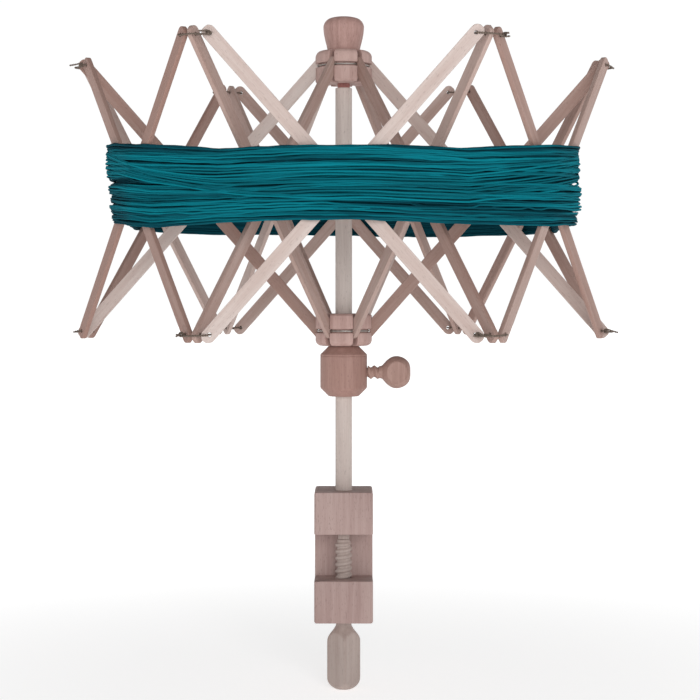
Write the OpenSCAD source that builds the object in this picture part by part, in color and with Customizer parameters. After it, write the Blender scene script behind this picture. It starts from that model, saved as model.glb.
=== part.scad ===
// Umbrella swift: a table-clamped yarn holder with a folding lattice of wooden laths.
// The origin is on the post's axis, on the underside of the upper jaw, where the table top meets it.

/* [Lattice] */
// Distance between the two end holes of a lath
lath_span = 352; // [330:2:370]
// Width of a lath
lath_w = 12.6; // [11:0.2:13.4]
// Thickness of a lath
lath_t = 4.5; // [3.6:0.1:4.8]
// Wood past the middle of each end hole
lath_end = 8; // [7:0.1:8.6]
// Hole for the cord at the outer end of a lath
cord_hole_d = 3.6; // [3.2:0.1:4.2]
// Height between the two hub wires as the swift stands
open_h = 264; // [250:1:280]
// Height of the upper hub wire above the table top
upper_wire_z = 464.6; // [455:0.2:475]

/* [Hubs] */
// Radius at which the laths turn on the hub wire
wire_r = 25; // [24:0.2:26]
// Diameter of the hub wire
wire_d = 1.6; // [1.2:0.1:2]
// Diameter of both hubs
hub_d = 56.4; // [56:0.2:60]
// Hub height from the wire to the face that bears on the knob or the collar
hub_back = 15; // [13:0.5:17]
// Hub height from the wire to the face that looks into the lattice
hub_front = 17.2; // [15:0.2:20]
// Rounding of the hub's bearing edge
hub_round = 6; // [3:0.5:8]
// Radius of the core that the lath slots leave standing
hub_core_r = 13.5; // [12:0.5:15]
// Width of the groove that the wire lies in
groove_w = 4; // [3:0.1:5]

/* [Post and knob] */
// Diameter of the post
post_d = 16.6; // [14:0.2:18]
// Height of the post's shoulder above the table top
post_top = 443; // [430:1:446]
// Diameter of the tenon that the upper hub turns on
tenon_d = 12.3; // [10:0.1:13]
// How deep the post is glued into the upper jaw
post_seat = 33; // [20:1:36]
// Diameter of the knob at its base
knob_base_d = 33; // [28:0.5:36]
// Largest diameter of the knob
knob_d = 40.8; // [36:0.2:46]
// Height of the knob
knob_h = 35; // [28:0.5:42]

/* [Collar and thumbscrew] */
// Diameter of the sliding collar
collar_d = 46.8; // [42:0.2:52]
// Height of the sliding collar
collar_h = 50.3; // [44:0.1:54]
// Chamfer at both ends of the collar
collar_chamfer = 8.5; // [4:0.5:10]
// Height of the thumbscrew above the collar's lower face
thumb_h = 24; // [20:0.5:28]
// Diameter of the thumbscrew's shank
thumb_d = 9; // [8:0.2:11]
// Diameter of the thumbscrew's ball
ball_d = 32.5; // [28:0.5:36]
// Thickness of the ball between its two flats
ball_t = 24; // [18:0.5:28]
// Distance from the post's axis to the ball's middle
ball_x = 50.5; // [48:0.5:56]

/* [Clamp] */
// Width of the clamp block
block_w = 58; // [50:1:66]
// Depth of the clamp block
block_depth = 68; // [60:1:76]
// Distance from the block's front face to the post's axis
block_front = 28; // [24:1:32]
// Height of the upper jaw
jaw_h = 41.5; // [38:0.5:50]
// Height of the lower jaw
lower_h = 41.5; // [32:0.5:50]
// Opening between the jaws
mouth_h = 46; // [40:1:56]
// Thickness of the spine behind the opening
spine_t = 26; // [20:1:32]
// Rounding of the block's edges
block_round = 2.2; // [1:0.1:3]
// Outer diameter of the wooden screw thread
screw_d = 16.6; // [14:0.2:18]
// Pitch of the wooden screw thread
pitch = 6.5; // [5:0.1:8]
// Depth of the thread
thread_depth = 1.7; // [1:0.1:2.2]
// Diameter of the button on the screw's tip
button_d = 12; // [10:0.2:13]
// Height of the button on the screw's tip
button_h = 4.6; // [3:0.2:6]
// Gap between the button and the jaw as the screw stands
button_gap = 2.6; // [2.2:0.1:4]
// Width of the handle across its edges
handle_d = 34.4; // [28:0.4:40]
// Width of the handle across its flats
handle_flat = 24.4; // [20:0.4:28]
// Diameter of the handle's neck
neck_d = 14.7; // [12:0.1:16]
// Length of the handle below the lower jaw
handle_l = 69.5; // [55:0.5:80]
// Height over which the neck widens to the handle
handle_flare = 22; // [14:0.5:28]

/* [Cord and yarn] */
// Diameter of the tie cord
cord_d = 1.8; // [1.4:0.1:2]
// Length of the longer cord tail
tail_l = 13; // [8:0.5:16]
// Height of the skein above the middle of the lattice
skein_up = 40; // [30:1:44]
// Depth of the skein below the middle of the lattice
skein_down = 31; // [24:1:40]
// Thickness of the skein
skein_t = 10; // [6:0.5:12]

/* [Rivets] */
// Diameter of the rivet where two laths cross
rivet_d = 2.4; // [2:0.1:3]
// Diameter of the rivet's head
rivet_head_d = 5.2; // [4.4:0.1:6]
// Thickness of the rivet's head
rivet_head_t = 0.8; // [0.6:0.1:1.2]

/* [Fits] */
// Gap between two laths that cross
lath_gap = 0.3; // [0.2:0.05:0.6]
// Play between a lath and the rivet's head
rivet_play = 0.06; // [0.03:0.01:0.15]
// Radial clearance of turning and sliding fits
running = 0.08; // [0.03:0.01:0.1]
// Gap between faces that turn on each other
face_gap = 0.15; // [0.1:0.05:0.4]
// Play of a lath in its hub slot, both sides together
slot_play = 0.6; // [0.4:0.1:1]

/* [Hidden] */
$fn = 48;
STATIONS = 6;

// The lattice as it stands: every lath leans by the same angle
lean = asin(open_h / lath_span);
lower_wire_z = upper_wire_z - open_h;
middle_z = upper_wire_z - open_h / 2;
// Radius of the outer points, where three laths are tied together
point_r = wire_r + lath_span * cos(lean);
// A side lath hangs this far along its side from the outer point, so that all laths always lean alike
tie_off = wire_r / 2;
step = 360 / STATIONS;
half_step = step / 2;
// Middle of a lath beside the plane in which it meets its partner
beside = (lath_t + lath_gap) / 2;
// How far a lath's end reaches past its hole along the side
end_reach = lath_w / 2 + (lath_end - lath_w / 2) * cos(lean);
// The cord needs this much room between a radial lath and the end of the side lath beside it
cord_room = cord_d + 0.4;
// Crossing plane of a side pair, outside the line between two outer points
side_out = max(lath_gap / 2 + lath_t,
    2 * (lath_gap / 2 + lath_t + cord_room - cos(half_step) * (tie_off - end_reach))) + 0.05;
side_distance = point_r * cos(half_step);
hub_hole_d = wire_d + 0.8;
// The wire ring passes through the middle of each lath's hole
ring_r = (wire_r + norm([wire_r, lath_t + lath_gap / 2])) / 2;
hub_r = hub_d / 2;
upper_hub_top = upper_wire_z + hub_back;
lower_hub_bottom = lower_wire_z - hub_back;
knob_z = upper_hub_top + face_gap;
knob_bore_depth = knob_h * 0.6;
collar_top = lower_hub_bottom - face_gap;
collar_bottom = collar_top - collar_h;
thumb_z = collar_bottom + thumb_h;
block_back = block_depth - block_front;
block_bottom = -mouth_h - lower_h;
screw_top = -button_gap - button_h - face_gap;
pin_d = button_d / 2;
pin_l = 8;

// A filled rectangle with round corners, middle at the origin
module rounded(w, h, r) {
    square([w - 2 * r, h], center = true);
    square([w, h - 2 * r], center = true);
    for (x = [-1, 1], y = [-1, 1])
        translate([x * (w / 2 - r), y * (h / 2 - r)]) circle(r = r);
}

// Upper and lower jaw with the spine behind them, seats for the post and the screw
module clamp_block() {
    h = jaw_h - block_bottom;
    color([0.69, 0.60, 0.56])
    difference() {
        intersection() {
            translate([0, block_back - block_depth / 2, block_bottom])
                linear_extrude(h) rounded(block_w, block_depth, block_round);
            translate([0, block_back, block_bottom + h / 2]) rotate([90, 0, 0])
                linear_extrude(block_depth) rounded(block_w, h, block_round);
        }
        translate([-block_w, -block_front - 1, -mouth_h])
            cube([2 * block_w, block_depth - spine_t + 1, mouth_h]);
        translate([0, 0, jaw_h - post_seat]) cylinder(d = post_d, h = post_seat + 1);
        translate([0, 0, block_bottom - 1])
            cylinder(r = screw_d / 2 + running, h = lower_h + 2);
    }
}

// Turned post with the tenon for the upper hub and the knob
module post() {
    color([0.72, 0.67, 0.62]) {
        translate([0, 0, jaw_h - post_seat]) cylinder(d = post_d, h = post_top - jaw_h + post_seat);
        translate([0, 0, post_top]) cylinder(d = tenon_d, h = knob_z + knob_bore_depth - post_top);
    }
}

// Knob on top, glued to the tenon
module knob() {
    r1 = knob_base_d / 2;
    r2 = knob_d / 2;
    // The upper third is the rounded crown
    crown = knob_h / 3;
    wide_z = knob_h - crown;
    color([0.66, 0.54, 0.50])
    translate([0, 0, knob_z])
    difference() {
        rotate_extrude($fn = 96) polygon(concat(
            [[0, 0], [r1 - 0.8, 0], [r1, 0.8]],
            [for (k = [1:4]) [r1 + (r2 - r1) * sin(90 * k / 4), wide_z * k / 4]],
            [for (a = [15:15:75]) [r2 - crown * 0.8 * (1 - cos(a)), wide_z + crown * 0.9 * sin(a)]],
            [[r2 - crown * 0.85, knob_h - 0.25], [0, knob_h]]));
        translate([0, 0, -1]) cylinder(d = tenon_d, h = knob_bore_depth + 1);
    }
}

// Sliding collar that carries the lower hub
module collar() {
    r = collar_d / 2;
    color([0.63, 0.50, 0.46])
    difference() {
        translate([0, 0, collar_bottom]) rotate_extrude($fn = 96) polygon([
            [0, 0], [r - collar_chamfer, 0], [r, collar_chamfer],
            [r, collar_h - collar_chamfer], [r - collar_chamfer, collar_h], [0, collar_h]]);
        translate([0, 0, collar_bottom - 1])
            cylinder(r = post_d / 2 + running, h = collar_h + 2);
        translate([0, 0, thumb_z]) rotate([0, 90, 0])
            cylinder(r = thumb_d / 2 + running, h = collar_d);
    }
}

// Wooden thumbscrew: shank, two beads and a ball with two flats
module thumbscrew() {
    tip = post_d / 2 + running + face_gap;
    neck = thumb_d / 2;
    face = collar_d / 2;
    bead_r = neck + 1.5;
    ball_r = ball_d / 2;
    bead = face + 1.6;
    bead_w = 6;
    // The cone from the second bead meets the ball at this angle from the shank
    cone = asin(bead_r / ball_r) + 22;
    color([0.65, 0.53, 0.48])
    translate([0, 0, thumb_z])
    intersection() {
        rotate([0, 90, 0]) rotate_extrude($fn = 96) polygon(concat(
            [[0, tip], [neck, tip], [neck, bead], [bead_r, bead + bead_w / 2],
             [neck + 0.5, bead + bead_w], [bead_r, bead + bead_w * 1.5]],
            [for (a = [cone:12:175]) [ball_r * sin(a), ball_x - ball_r * cos(a)]],
            [[0, ball_x + ball_r]]));
        translate([tip - 1, -ball_t / 2, -ball_d])
            cube([ball_x + ball_d, ball_t, 2 * ball_d]);
    }
}

// One hub with its wire at height 0 and its bearing face up
module hub(bore_d, side) {
    wide = lath_t + slot_play;
    groove_r = ring_r - wire_d / 2 - 0.2;
    difference() {
        rotate_extrude($fn = 96) polygon(concat(
            [[0, -hub_front], [hub_r - 2, -hub_front], [hub_r, -hub_front + 2],
             [hub_r, -groove_w / 2], [groove_r, -groove_w / 2], [groove_r, groove_w / 2],
             [hub_r, groove_w / 2]],
            [for (a = [0:15:90]) [hub_r - hub_round * (1 - cos(a)),
                hub_back - hub_round * (1 - sin(a))]],
            [[0, hub_back]]));
        cylinder(d = bore_d, h = 4 * hub_back, center = true);
        for (i = [0:STATIONS - 1]) rotate(i * step)
            translate([hub_core_r, side * beside - wide / 2, -hub_front - 1])
                cube([hub_r, wide, hub_front + hub_back + 2]);
    }
}

module upper_hub() {
    color([0.67, 0.56, 0.52])
    translate([0, 0, upper_wire_z]) hub(tenon_d + 2 * running, 1);
}

module lower_hub() {
    color([0.64, 0.51, 0.47])
    translate([0, 0, lower_wire_z]) mirror([0, 0, 1]) hub(post_d + 2 * running, -1);
}

// Wire ring on which the six laths of a hub turn
module hub_wire(z) {
    color([0.75, 0.74, 0.72])
    translate([0, 0, z]) rotate_extrude($fn = 96) translate([ring_r, 0]) circle(d = wire_d, $fn = 24);
}

// A lath along +X with its first hole at the origin, lying in the XZ plane
module lath(first_d, last_d, middle_d) {
    reach = lath_end - lath_w / 2;
    rotate([90, 0, 0]) translate([0, 0, -lath_t / 2]) linear_extrude(lath_t) difference() {
        union() {
            translate([-reach, -lath_w / 2]) square([lath_span + 2 * reach, lath_w]);
            for (x = [-reach, lath_span + reach]) translate([x, 0]) circle(d = lath_w);
        }
        circle(d = first_d);
        translate([lath_span, 0]) circle(d = last_d);
        translate([lath_span / 2, 0]) circle(d = middle_d);
    }
}

// Radial laths: from the upper hub down to a lower point, and from the lower hub up
module radial_upper(i) {
    color([0.70, 0.60, 0.56])
    rotate((i - 1) * step) translate([wire_r, beside, upper_wire_z]) rotate([0, lean, 0])
        lath(hub_hole_d, cord_hole_d, rivet_d + running / 2);
}

module radial_lower(i) {
    color([0.63, 0.52, 0.48])
    rotate((i - 1) * step) translate([wire_r, -beside, lower_wire_z]) rotate([0, -lean, 0])
        lath(hub_hole_d, cord_hole_d, rivet_d + 2 * running);
}

// Side laths: the inner one falls and the outer one rises towards the next station
module side(i, out, turn, middle_d) {
    rotate((i - 1) * step + half_step)
        translate([side_distance + side_out + out * beside, 0, middle_z])
        rotate([0, 0, 90]) rotate([0, turn, 0]) translate([-lath_span / 2, 0, 0])
        lath(cord_hole_d, cord_hole_d, middle_d);
}

module side_inner(i) {
    color([0.66, 0.55, 0.51]) side(i, -1, lean, rivet_d + running / 2);
}

module side_outer(i) {
    color([0.74, 0.66, 0.62]) side(i, 1, -lean, rivet_d + 2 * running);
}

// Rivet through a crossing, along +Y, middle between the two laths
module rivet() {
    half = lath_t + lath_gap / 2 + rivet_play;
    color([0.72, 0.62, 0.42]) rotate([90, 0, 0]) {
        cylinder(d = rivet_d, h = 2 * half, center = true);
        for (s = [-1, 1])
            translate([0, 0, s * (half + rivet_head_t / 2)])
                cylinder(d = rivet_head_d, h = rivet_head_t, center = true);
    }
}

module radial_rivet(i) {
    rotate((i - 1) * step) translate([(wire_r + point_r) / 2, 0, middle_z]) rivet();
}

module side_rivet(i) {
    rotate((i - 1) * step + half_step)
        translate([side_distance + side_out, 0, middle_z]) rotate(90) rivet();
}

// A round tube through the given points, each with its own radius, closed at both ends
module tube(points, radii, sides) {
    n = len(points);
    along = [for (k = [0:n - 1]) points[min(k + 1, n - 1)] - points[max(k - 1, 0)]];
    rings = [for (k = [0:n - 1]) let (
            t = along[k] / norm(along[k]),
            u = cross(t, [0, 0, 1]) / norm(cross(t, [0, 0, 1])),
            v = cross(u, t))
        for (a = [0:sides - 1])
            points[k] + radii[k] * (cos(360 * a / sides) * u + sin(360 * a / sides) * v)];
    polyhedron(rings, concat(
        [[for (a = [0:sides - 1]) a]],
        [for (k = [0:n - 2], a = [0:sides - 1]) let (b = (a + 1) % sides)
            [k * sides + a, (k + 1) * sides + a, (k + 1) * sides + b, k * sides + b]],
        [[for (a = [sides - 1:-1:0]) (n - 1) * sides + a]]));
}

// A place beside an outer point: s along the side, n outwards from it, z up
function by_side(turn, s, n, z) = [
    -sin(half_step) * s + cos(half_step) * n,
    turn * (cos(half_step) * s + sin(half_step) * n),
    z];

// Cord through the three laths of an outer point, with its knot and two tails
// turn is 1 where the inner side lath lies anticlockwise of the point
module tie(turn, droop) {
    // Distance of the cord's middle from the wood it lies on
    hug = cord_d * 0.65;
    inner_in = side_out - lath_gap / 2 - lath_t - hug;
    inner_out = side_out - lath_gap / 2 + hug;
    outer_in = side_out + lath_gap / 2 - cord_d * 0.8;
    outer_out = side_out + lath_gap / 2 + lath_t + hug;
    lath_far = -turn * (lath_t + lath_gap / 2 + hug);
    lath_near = turn * hug;
    knot = by_side(turn, tie_off - 1, inner_out + 2.4, 0);
    end_x = end_reach + cord_d * 0.75;
    over = [0, 0, cord_d * 0.75];
    r = cord_d / 2;
    knot_r = r * 1.35;
    route = [
        knot + over + [tail_l, -turn * 1.5, -droop],
        knot + over + [tail_l * 0.5, -turn * 1, -droop * 0.4],
        knot + over + [1.8, 0, 0],
        knot + over + [0, turn * 0.6, 0],
        by_side(turn, tie_off, inner_out + 0.6, 0.4),
        by_side(turn, tie_off, inner_out, 0),
        by_side(turn, tie_off, inner_in, 0),
        by_side(turn, tie_off - end_reach - 1, inner_in, 0),
        [0, lath_near, 0],
        [0, lath_far, 0],
        by_side(-turn, tie_off, outer_in - 0.3, 0),
        by_side(-turn, tie_off, outer_out, 0),
        by_side(-turn, tie_off - 3, outer_out + 0.5, -0.5),
        [end_x + 1, -turn * 4, -1],
        [end_x + 1, turn * 3, -1.2],
        knot - over + [0.4, -turn * 1.5, 0],
        knot - over + [0.3, turn * 1.6, 0],
        knot - over + [2.5, turn * 5, 1],
    ];
    swell = [for (k = [0:len(route) - 1])
        (k == 2 || k == 3 || k == 15 || k == 16) ? knot_r : r];
    color([0.36, 0.32, 0.29]) tube(route, swell, 8);
}

module upper_tie(i) {
    rotate((i - 1) * step) translate([point_r, 0, upper_wire_z]) tie(1, 1.5);
}

module lower_tie(i) {
    rotate((i - 1) * step) translate([point_r, 0, lower_wire_z]) tie(-1, 3);
}

// The wound skein: it lies flat on each crossing and cuts straight across each outer point
module yarn_skein() {
    clear = side_distance + side_out + lath_gap / 2 + lath_t + rivet_play + rivet_head_t + 0.4;
    levels = [for (s = [-1, -2 / 3, -1 / 3]) skein_down * s, for (s = [0, 1 / 3, 2 / 3, 1]) skein_up * s];
    // Share of the skein's thickness at each level: thin at both edges, pulled in at the middle
    edge = [0.55, 0.95, 1, 0.9, 1, 0.95, 0.55];
    n = len(levels);
    m = 2 * STATIONS;
    function corner(k, z, out) = let (
            j = floor(k / 2),
            s = (k % 2 == 0 ? -1 : 1),
            half = abs(z) / tan(lean) + lath_w / 2 / sin(lean) + out * tan(half_step / 2),
            a = j * step + half_step)
        (clear + out) * [cos(a), sin(a), 0] + s * half * [-sin(a), cos(a), 0]
            + [0, 0, middle_z + z];
    inner = [for (q = [0:n - 1], k = [0:m - 1]) corner(k, levels[q], 0)];
    outer = [for (q = [0:n - 1], k = [0:m - 1]) corner(k, levels[q], skein_t * edge[q])];
    far = n * m;
    color([0.0, 0.42, 0.46])
    polyhedron(concat(inner, outer), concat(
        [for (q = [0:n - 2], k = [0:m - 1]) let (b = (k + 1) % m)
            [q * m + k, q * m + b, (q + 1) * m + b, (q + 1) * m + k]],
        [for (q = [0:n - 2], k = [0:m - 1]) let (b = (k + 1) % m)
            [far + q * m + b, far + q * m + k, far + (q + 1) * m + k, far + (q + 1) * m + b]],
        [for (k = [0:m - 1]) let (b = (k + 1) % m) [b, k, far + k, far + b]],
        [for (k = [0:m - 1]) let (b = (k + 1) % m, t = (n - 1) * m)
            [t + k, t + b, far + t + b, far + t + k]]));
}

// Button on the screw's tip: it stays still under the table while the screw turns in it
module screw_button() {
    color([0.70, 0.62, 0.57]) {
        translate([0, 0, -button_gap - button_h]) cylinder(d1 = button_d, d2 = button_d - 1, h = button_h);
        translate([0, 0, -button_gap - button_h - pin_l]) cylinder(d = pin_d, h = pin_l);
    }
}

// Wooden screw and its handle, turned from one piece
module clamp_screw() {
    r = screw_d / 2;
    root = r - thread_depth;
    neck = neck_d / 2;
    grip = handle_d / 2;
    thread_l = screw_top - block_bottom;
    turns = floor((thread_l - 3) / pitch);
    first = screw_top - 2;
    // One ridge: where it rises and falls, as shares of the pitch
    ridge = [0.08, 0.34, 0.62, 0.9];
    low = block_bottom - handle_l;
    // Straight neck above the curve, and height of the rounded end
    neck_l = 3;
    dome = grip * 2 / 3;
    // The handle stands with an edge a little right of the front
    handle_turn = 49;
    color([0.68, 0.60, 0.55]) {
        difference() {
            rotate_extrude($fn = 96) polygon(concat(
                [[0, screw_top], [button_d / 2, screw_top], [button_d / 2, first]],
                [for (k = [0:turns - 1], p = [0:3])
                    [[root, r, r, root][p], first - pitch * (k + ridge[p])]],
                [[neck, first - pitch * turns], [neck, block_bottom], [0, block_bottom]]));
            translate([0, 0, screw_top - pin_l]) cylinder(r = pin_d / 2 + running, h = pin_l + 1);
        }
        intersection() {
            rotate_extrude($fn = 96) polygon(concat(
                [[0, block_bottom], [neck, block_bottom]],
                [for (k = [1:8]) [neck + (grip - neck) * (1 - cos(180 * k / 8)) / 2,
                    block_bottom - neck_l - (handle_flare - neck_l) * k / 8]],
                [for (a = [0:15:75]) [grip * (1 + cos(a)) / 2, low + dome * (1 - sin(a))]],
                [[0, low]]));
            translate([0, 0, low + handle_l / 2]) rotate(handle_turn)
                cube([handle_flat, handle_flat, handle_l + 2], center = true);
        }
    }
}

clamp_block();
post();
knob();
screw_button();
clamp_screw();
collar();
thumbscrew();
upper_hub();
lower_hub();
hub_wire(upper_wire_z);  // upper_hub_wire
hub_wire(lower_wire_z);  // lower_hub_wire
for (i = [1:STATIONS]) {
    radial_upper(i);
    radial_lower(i);
    side_inner(i);
    side_outer(i);
    radial_rivet(i);
    side_rivet(i);
    upper_tie(i);
    lower_tie(i);
}
yarn_skein();
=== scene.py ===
# %% [markdown]
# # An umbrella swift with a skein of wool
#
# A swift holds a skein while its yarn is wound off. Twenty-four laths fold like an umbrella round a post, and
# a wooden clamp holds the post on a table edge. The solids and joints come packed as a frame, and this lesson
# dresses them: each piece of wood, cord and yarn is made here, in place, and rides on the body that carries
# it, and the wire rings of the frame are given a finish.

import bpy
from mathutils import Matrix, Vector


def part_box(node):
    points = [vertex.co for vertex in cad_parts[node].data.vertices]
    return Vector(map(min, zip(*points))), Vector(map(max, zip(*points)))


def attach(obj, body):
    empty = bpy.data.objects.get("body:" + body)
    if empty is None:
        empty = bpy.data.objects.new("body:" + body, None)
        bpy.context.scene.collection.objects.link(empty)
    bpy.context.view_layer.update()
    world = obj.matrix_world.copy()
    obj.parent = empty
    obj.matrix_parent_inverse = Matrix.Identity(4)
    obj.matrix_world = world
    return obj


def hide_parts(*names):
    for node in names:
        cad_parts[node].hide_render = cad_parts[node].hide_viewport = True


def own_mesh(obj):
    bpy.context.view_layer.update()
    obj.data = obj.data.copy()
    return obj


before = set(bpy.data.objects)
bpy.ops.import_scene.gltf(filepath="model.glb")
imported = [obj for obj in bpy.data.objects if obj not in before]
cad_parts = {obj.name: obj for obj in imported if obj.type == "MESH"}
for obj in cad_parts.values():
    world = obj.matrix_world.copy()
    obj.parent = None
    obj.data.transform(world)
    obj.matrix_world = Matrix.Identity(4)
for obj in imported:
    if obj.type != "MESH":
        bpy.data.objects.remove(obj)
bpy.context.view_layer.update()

# %% Modules
import math
import random

import bmesh
import bpy
import numpy as np
from mathutils import Matrix, Vector, noise

# %% [markdown]
# ## The camera
#
# The picture was taken level, a little under two metres away, with the lens a little above the middle of
# the lattice. A wrong distance shows at once in the crossing laths, so it is settled before any piece is
# made.

# %% Camera
EYE = Vector((0.0063, -1.83, 0.2283))
AIM = Vector((0.0063, 0, 0.1813))
PICTURE_WIDTH = 0.700

camera_data = bpy.data.cameras.new("camera")
camera_data.sensor_width = 36
camera_data.lens = camera_data.sensor_width * -EYE.y / PICTURE_WIDTH
camera = bpy.data.objects.new("camera", camera_data)
camera.location = EYE
camera.rotation_euler = Vector((0, 1, 0)).to_track_quat("-Z", "Y").to_euler()
camera_data.shift_y = (AIM.z - EYE.z) / PICTURE_WIDTH
bpy.context.collection.objects.link(camera)
bpy.context.scene.camera = camera
print("lens in mm:", round(camera_data.lens, 1), "shift:", round(camera_data.shift_y, 4))

# %% [markdown]
# ## Shader sums written as Python
#
# A finish is a small tree of nodes. Value wraps one socket of it, so that 1 - mask or grain * 0.3 adds
# the Math nodes by itself, and Finish.add puts in any other node.

# %% Value and Finish
class Value:
    """A number or colour that varies over a surface."""

    def __init__(self, finish, socket):
        self.finish = finish
        self.socket = socket

    def maths(self, operation, first, second):
        return self.finish.add("ShaderNodeMath", {"operation": operation}, {0: first, 1: second})

    def __add__(self, other):
        return self.maths("ADD", self, other)

    def __sub__(self, other):
        return self.maths("SUBTRACT", self, other)

    def __rsub__(self, other):
        return self.maths("SUBTRACT", other, self)

    def __mul__(self, other):
        return self.maths("MULTIPLY", self, other)

    __radd__ = __add__
    __rmul__ = __mul__


print("sums of sockets ready")


# %% Finish
class Finish:
    """A material whose nodes are added one by one."""

    def __init__(self, name, **constants):
        self.material = bpy.data.materials.new(name)
        self.material.use_nodes = True
        self.tree = self.material.node_tree
        self.shader = self.tree.nodes["Principled BSDF"]
        for key, value in constants.items():
            self.shader.inputs[key.replace("_", " ")].default_value = value

    def add(self, kind, settings, sockets, output=0):
        node = self.tree.nodes.new(kind)
        stops = settings.pop("stops", None)
        for key, value in settings.items():
            setattr(node, key, value)
        if stops:
            for element, (place, colour) in zip(node.color_ramp.elements, stops):
                element.position = place
                element.color = colour
        for key, value in sockets.items():
            if isinstance(value, Value):
                self.tree.links.new(value.socket, node.inputs[key])
            else:
                node.inputs[key].default_value = value
        return Value(self, node.outputs[output])

    def place(self, stretch):
        """Object coordinates, stretched along each axis, in cells per metre."""
        spot = self.add("ShaderNodeTexCoord", {}, {}, "Object")
        return self.add("ShaderNodeVectorMath", {"operation": "MULTIPLY"}, {0: spot, 1: stretch})

    def cloud(self, stretch, detail=2.0, twist=0.0, w=0.0):
        """Noise from 0 to 1, about 0.5, in cells of the given stretch."""
        return self.add("ShaderNodeTexNoise", {"noise_dimensions": "4D"},
                        {"Vector": self.place(stretch), "W": w, "Scale": 1.0, "Detail": detail,
                         "Distortion": twist})

    def between(self, value, low, high):
        """0 where value is under low, 1 over high, smooth between."""
        return self.add("ShaderNodeMapRange", {"interpolation_type": "SMOOTHSTEP"},
                        {"Value": value, "From Min": low, "From Max": high})

    def mix(self, share, first, second):
        return self.add("ShaderNodeMix", {"data_type": "RGBA"}, {0: share, 6: first, 7: second}, 2)

    def drive(self, name, value):
        self.tree.links.new(value.socket, self.shader.inputs[name])

    def bump(self, height, depth):
        self.drive("Normal", self.add("ShaderNodeBump", {}, {"Height": height, "Distance": depth}))


def colour(red, green, blue):
    """A screen colour from 0 to 255 as the linear colour that Blender works in."""
    return tuple((c / 255 / 12.92 if c < 10 else ((c / 255 + 0.055) / 1.055) ** 2.4)
                 for c in (red, green, blue)) + (1.0,)


print("middle grey is", round(colour(128, 128, 128)[0], 3), "in linear light")

# %% [markdown]
# ## Unvarnished beech
#
# The laths and turned parts are pale, slightly pink beech with no varnish: fine fibres along the length, soft
# bands a few millimetres apart and short brown flecks. Three noises, stretched along the grain, give all of
# it. Each lath gets a finish of its own, because in the picture no two have quite the same tone; that tone is
# partly the wood's own and partly painted light and shade, from the way each lath faces the light.

# %% Wood finish
ALONG = {"x": (1, 0, 0), "y": (0, 1, 0), "z": (0, 0, 1)}


def grain_stretch(axis, along, across):
    return tuple(along if part else across for part in ALONG[axis])


def wood(name, pale, deep, axis, seed=0.0, roughness=0.62, fleck=0.5):
    """Beech with its grain along one axis of the piece, between two tones."""
    finish = Finish(name, IOR=1.45, Base_Color=tuple((p + d) / 2 for p, d in zip(pale, deep)))
    bands = finish.cloud(grain_stretch(axis, 7, 210), 3.0, 0.35, seed)
    fibres = finish.cloud(grain_stretch(axis, 38, 1500), 2.0, 0.0, seed + 7)
    drift = finish.cloud(grain_stretch(axis, 9, 26), 1.0, 0.0, seed + 3)
    flecks = finish.between(finish.cloud(grain_stretch(axis, 260, 1300), 1.0, 0.0, seed + 11), 0.62, 0.72)
    tone = finish.between(bands * 0.45 + fibres * 0.35 + drift * 0.35, 0.36, 0.82)
    ground = finish.mix(tone, pale, deep)
    marked = tuple(c * 0.62 for c in deep[:3]) + (1.0,)
    finish.drive("Base Color", finish.mix(flecks * fleck, ground, marked))
    finish.drive("Roughness", fibres * 0.2 + (roughness - 0.1))
    finish.bump(fibres * 0.6 + bands * 0.4 - flecks * 0.5, 0.00012)
    return finish.material


BLOCK_WOOD = wood("block_wood", colour(176, 152, 146), colour(149, 121, 116), "z", 2.0)
POST_WOOD = wood("post_wood", colour(205, 193, 186), colour(181, 165, 158), "z", 5.0)
HUB_WOOD = wood("hub_wood", colour(192, 162, 154), colour(160, 127, 120), "z", 9.0)
KNOB_WOOD = wood("knob_wood", colour(187, 152, 144), colour(154, 118, 110), "z", 14.0)
COLLAR_WOOD = wood("collar_wood", colour(166, 131, 121), colour(138, 102, 92), "z", 14.0)
SCREW_WOOD = wood("screw_wood", colour(178, 163, 156), colour(156, 138, 131), "z", 5.0)
THUMB_WOOD = wood("thumb_wood", colour(177, 145, 134), colour(145, 111, 101), "x", 17.0)
TENON_WOOD = wood("tenon_wood", colour(176, 120, 112), colour(150, 96, 90), "z", 21.0)
print("wood finishes:", len([m for m in bpy.data.materials if m.name.endswith("_wood")]))

# %% [markdown]
# ## Making and placing a mesh
#
# Most pieces here come down to three makers. new_piece stores points and faces as an object, turned spins
# an outline round an axis as a lathe does, and softened takes a solid of the frame and rounds its sharp
# edges with a bevel.

# %% Piece makers
TAU = 2 * math.pi


def settle(piece, body, finish, replaced=(), sharp=34):
    """Finishes a piece: material, smooth shading, the body that carries it, the solids it stands for."""
    piece.data.materials.clear()
    for one in finish if isinstance(finish, (list, tuple)) else [finish]:
        piece.data.materials.append(one)
    piece.data.shade_smooth()
    piece.data.set_sharp_from_angle(angle=math.radians(sharp))
    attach(piece, body)
    if replaced:
        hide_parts(*replaced)
    return piece


def new_piece(name, points, faces, place=Matrix()):
    mesh = bpy.data.meshes.new(name)
    mesh.from_pydata([tuple(p) for p in points], [], [tuple(f) for f in faces])
    mesh.validate()
    piece = bpy.data.objects.new(name, mesh)
    piece.matrix_world = place
    bpy.context.collection.objects.link(piece)
    return piece


def curved(outline, steps=5):
    """A smooth line through the points of an outline, which may be 2D or 3D."""
    points = [Vector(p) for p in outline]
    points = [2 * points[0] - points[1]] + points + [2 * points[-1] - points[-2]]
    line = []
    for a, b, c, d in zip(points, points[1:], points[2:], points[3:]):
        for k in range(steps):
            t = k / steps
            line.append(0.5 * ((2 * b) + (c - a) * t + (2 * a - 5 * b + 4 * c - d) * t * t
                               + (3 * b - a - 3 * c + d) * t ** 3))
    line.append(points[-2])
    return line


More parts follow.
